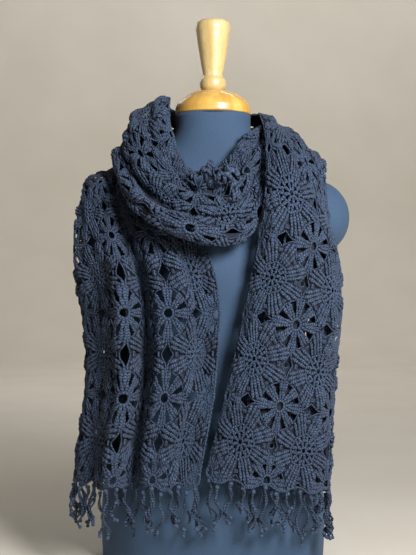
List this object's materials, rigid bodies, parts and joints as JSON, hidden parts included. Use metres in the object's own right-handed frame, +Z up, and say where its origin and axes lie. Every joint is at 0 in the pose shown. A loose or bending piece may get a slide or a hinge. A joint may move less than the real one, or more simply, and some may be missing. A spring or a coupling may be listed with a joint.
{
  "type": "crochet shawl on a dress form",
  "caption": "Long fringed shawl of crocheted flower lace, wound once round the neck of a table-top dress form, both ends hanging in front.",
  "frame": {"origin": "middle of the dress form's flat underside", "axes": "+Z up along the form's neck, -Y towards the form's front, +X towards the side where the shawl's right-hand panel hangs"},
  "size_m": [0.408, 0.3101, 0.7998],
  "materials": {
    "crochet_yarn": "matte slate-blue yarn, crocheted",
    "jersey_cover": "matte blue-grey stretch jersey",
    "varnished_wood": "honey-coloured varnish"
  },
  "bodies": {
    "root": {"right_panel": "crochet_yarn", "nape_over": "crochet_yarn", "cowl": "crochet_yarn", "nape_under": "crochet_yarn", "left_panel": "crochet_yarn", "right_fringe": "crochet_yarn", "left_fringe": "crochet_yarn", "dress_form": "jersey_cover", "neck_cap": "varnished_wood", "handle": "varnished_wood"}
  },
  "joints": []
}
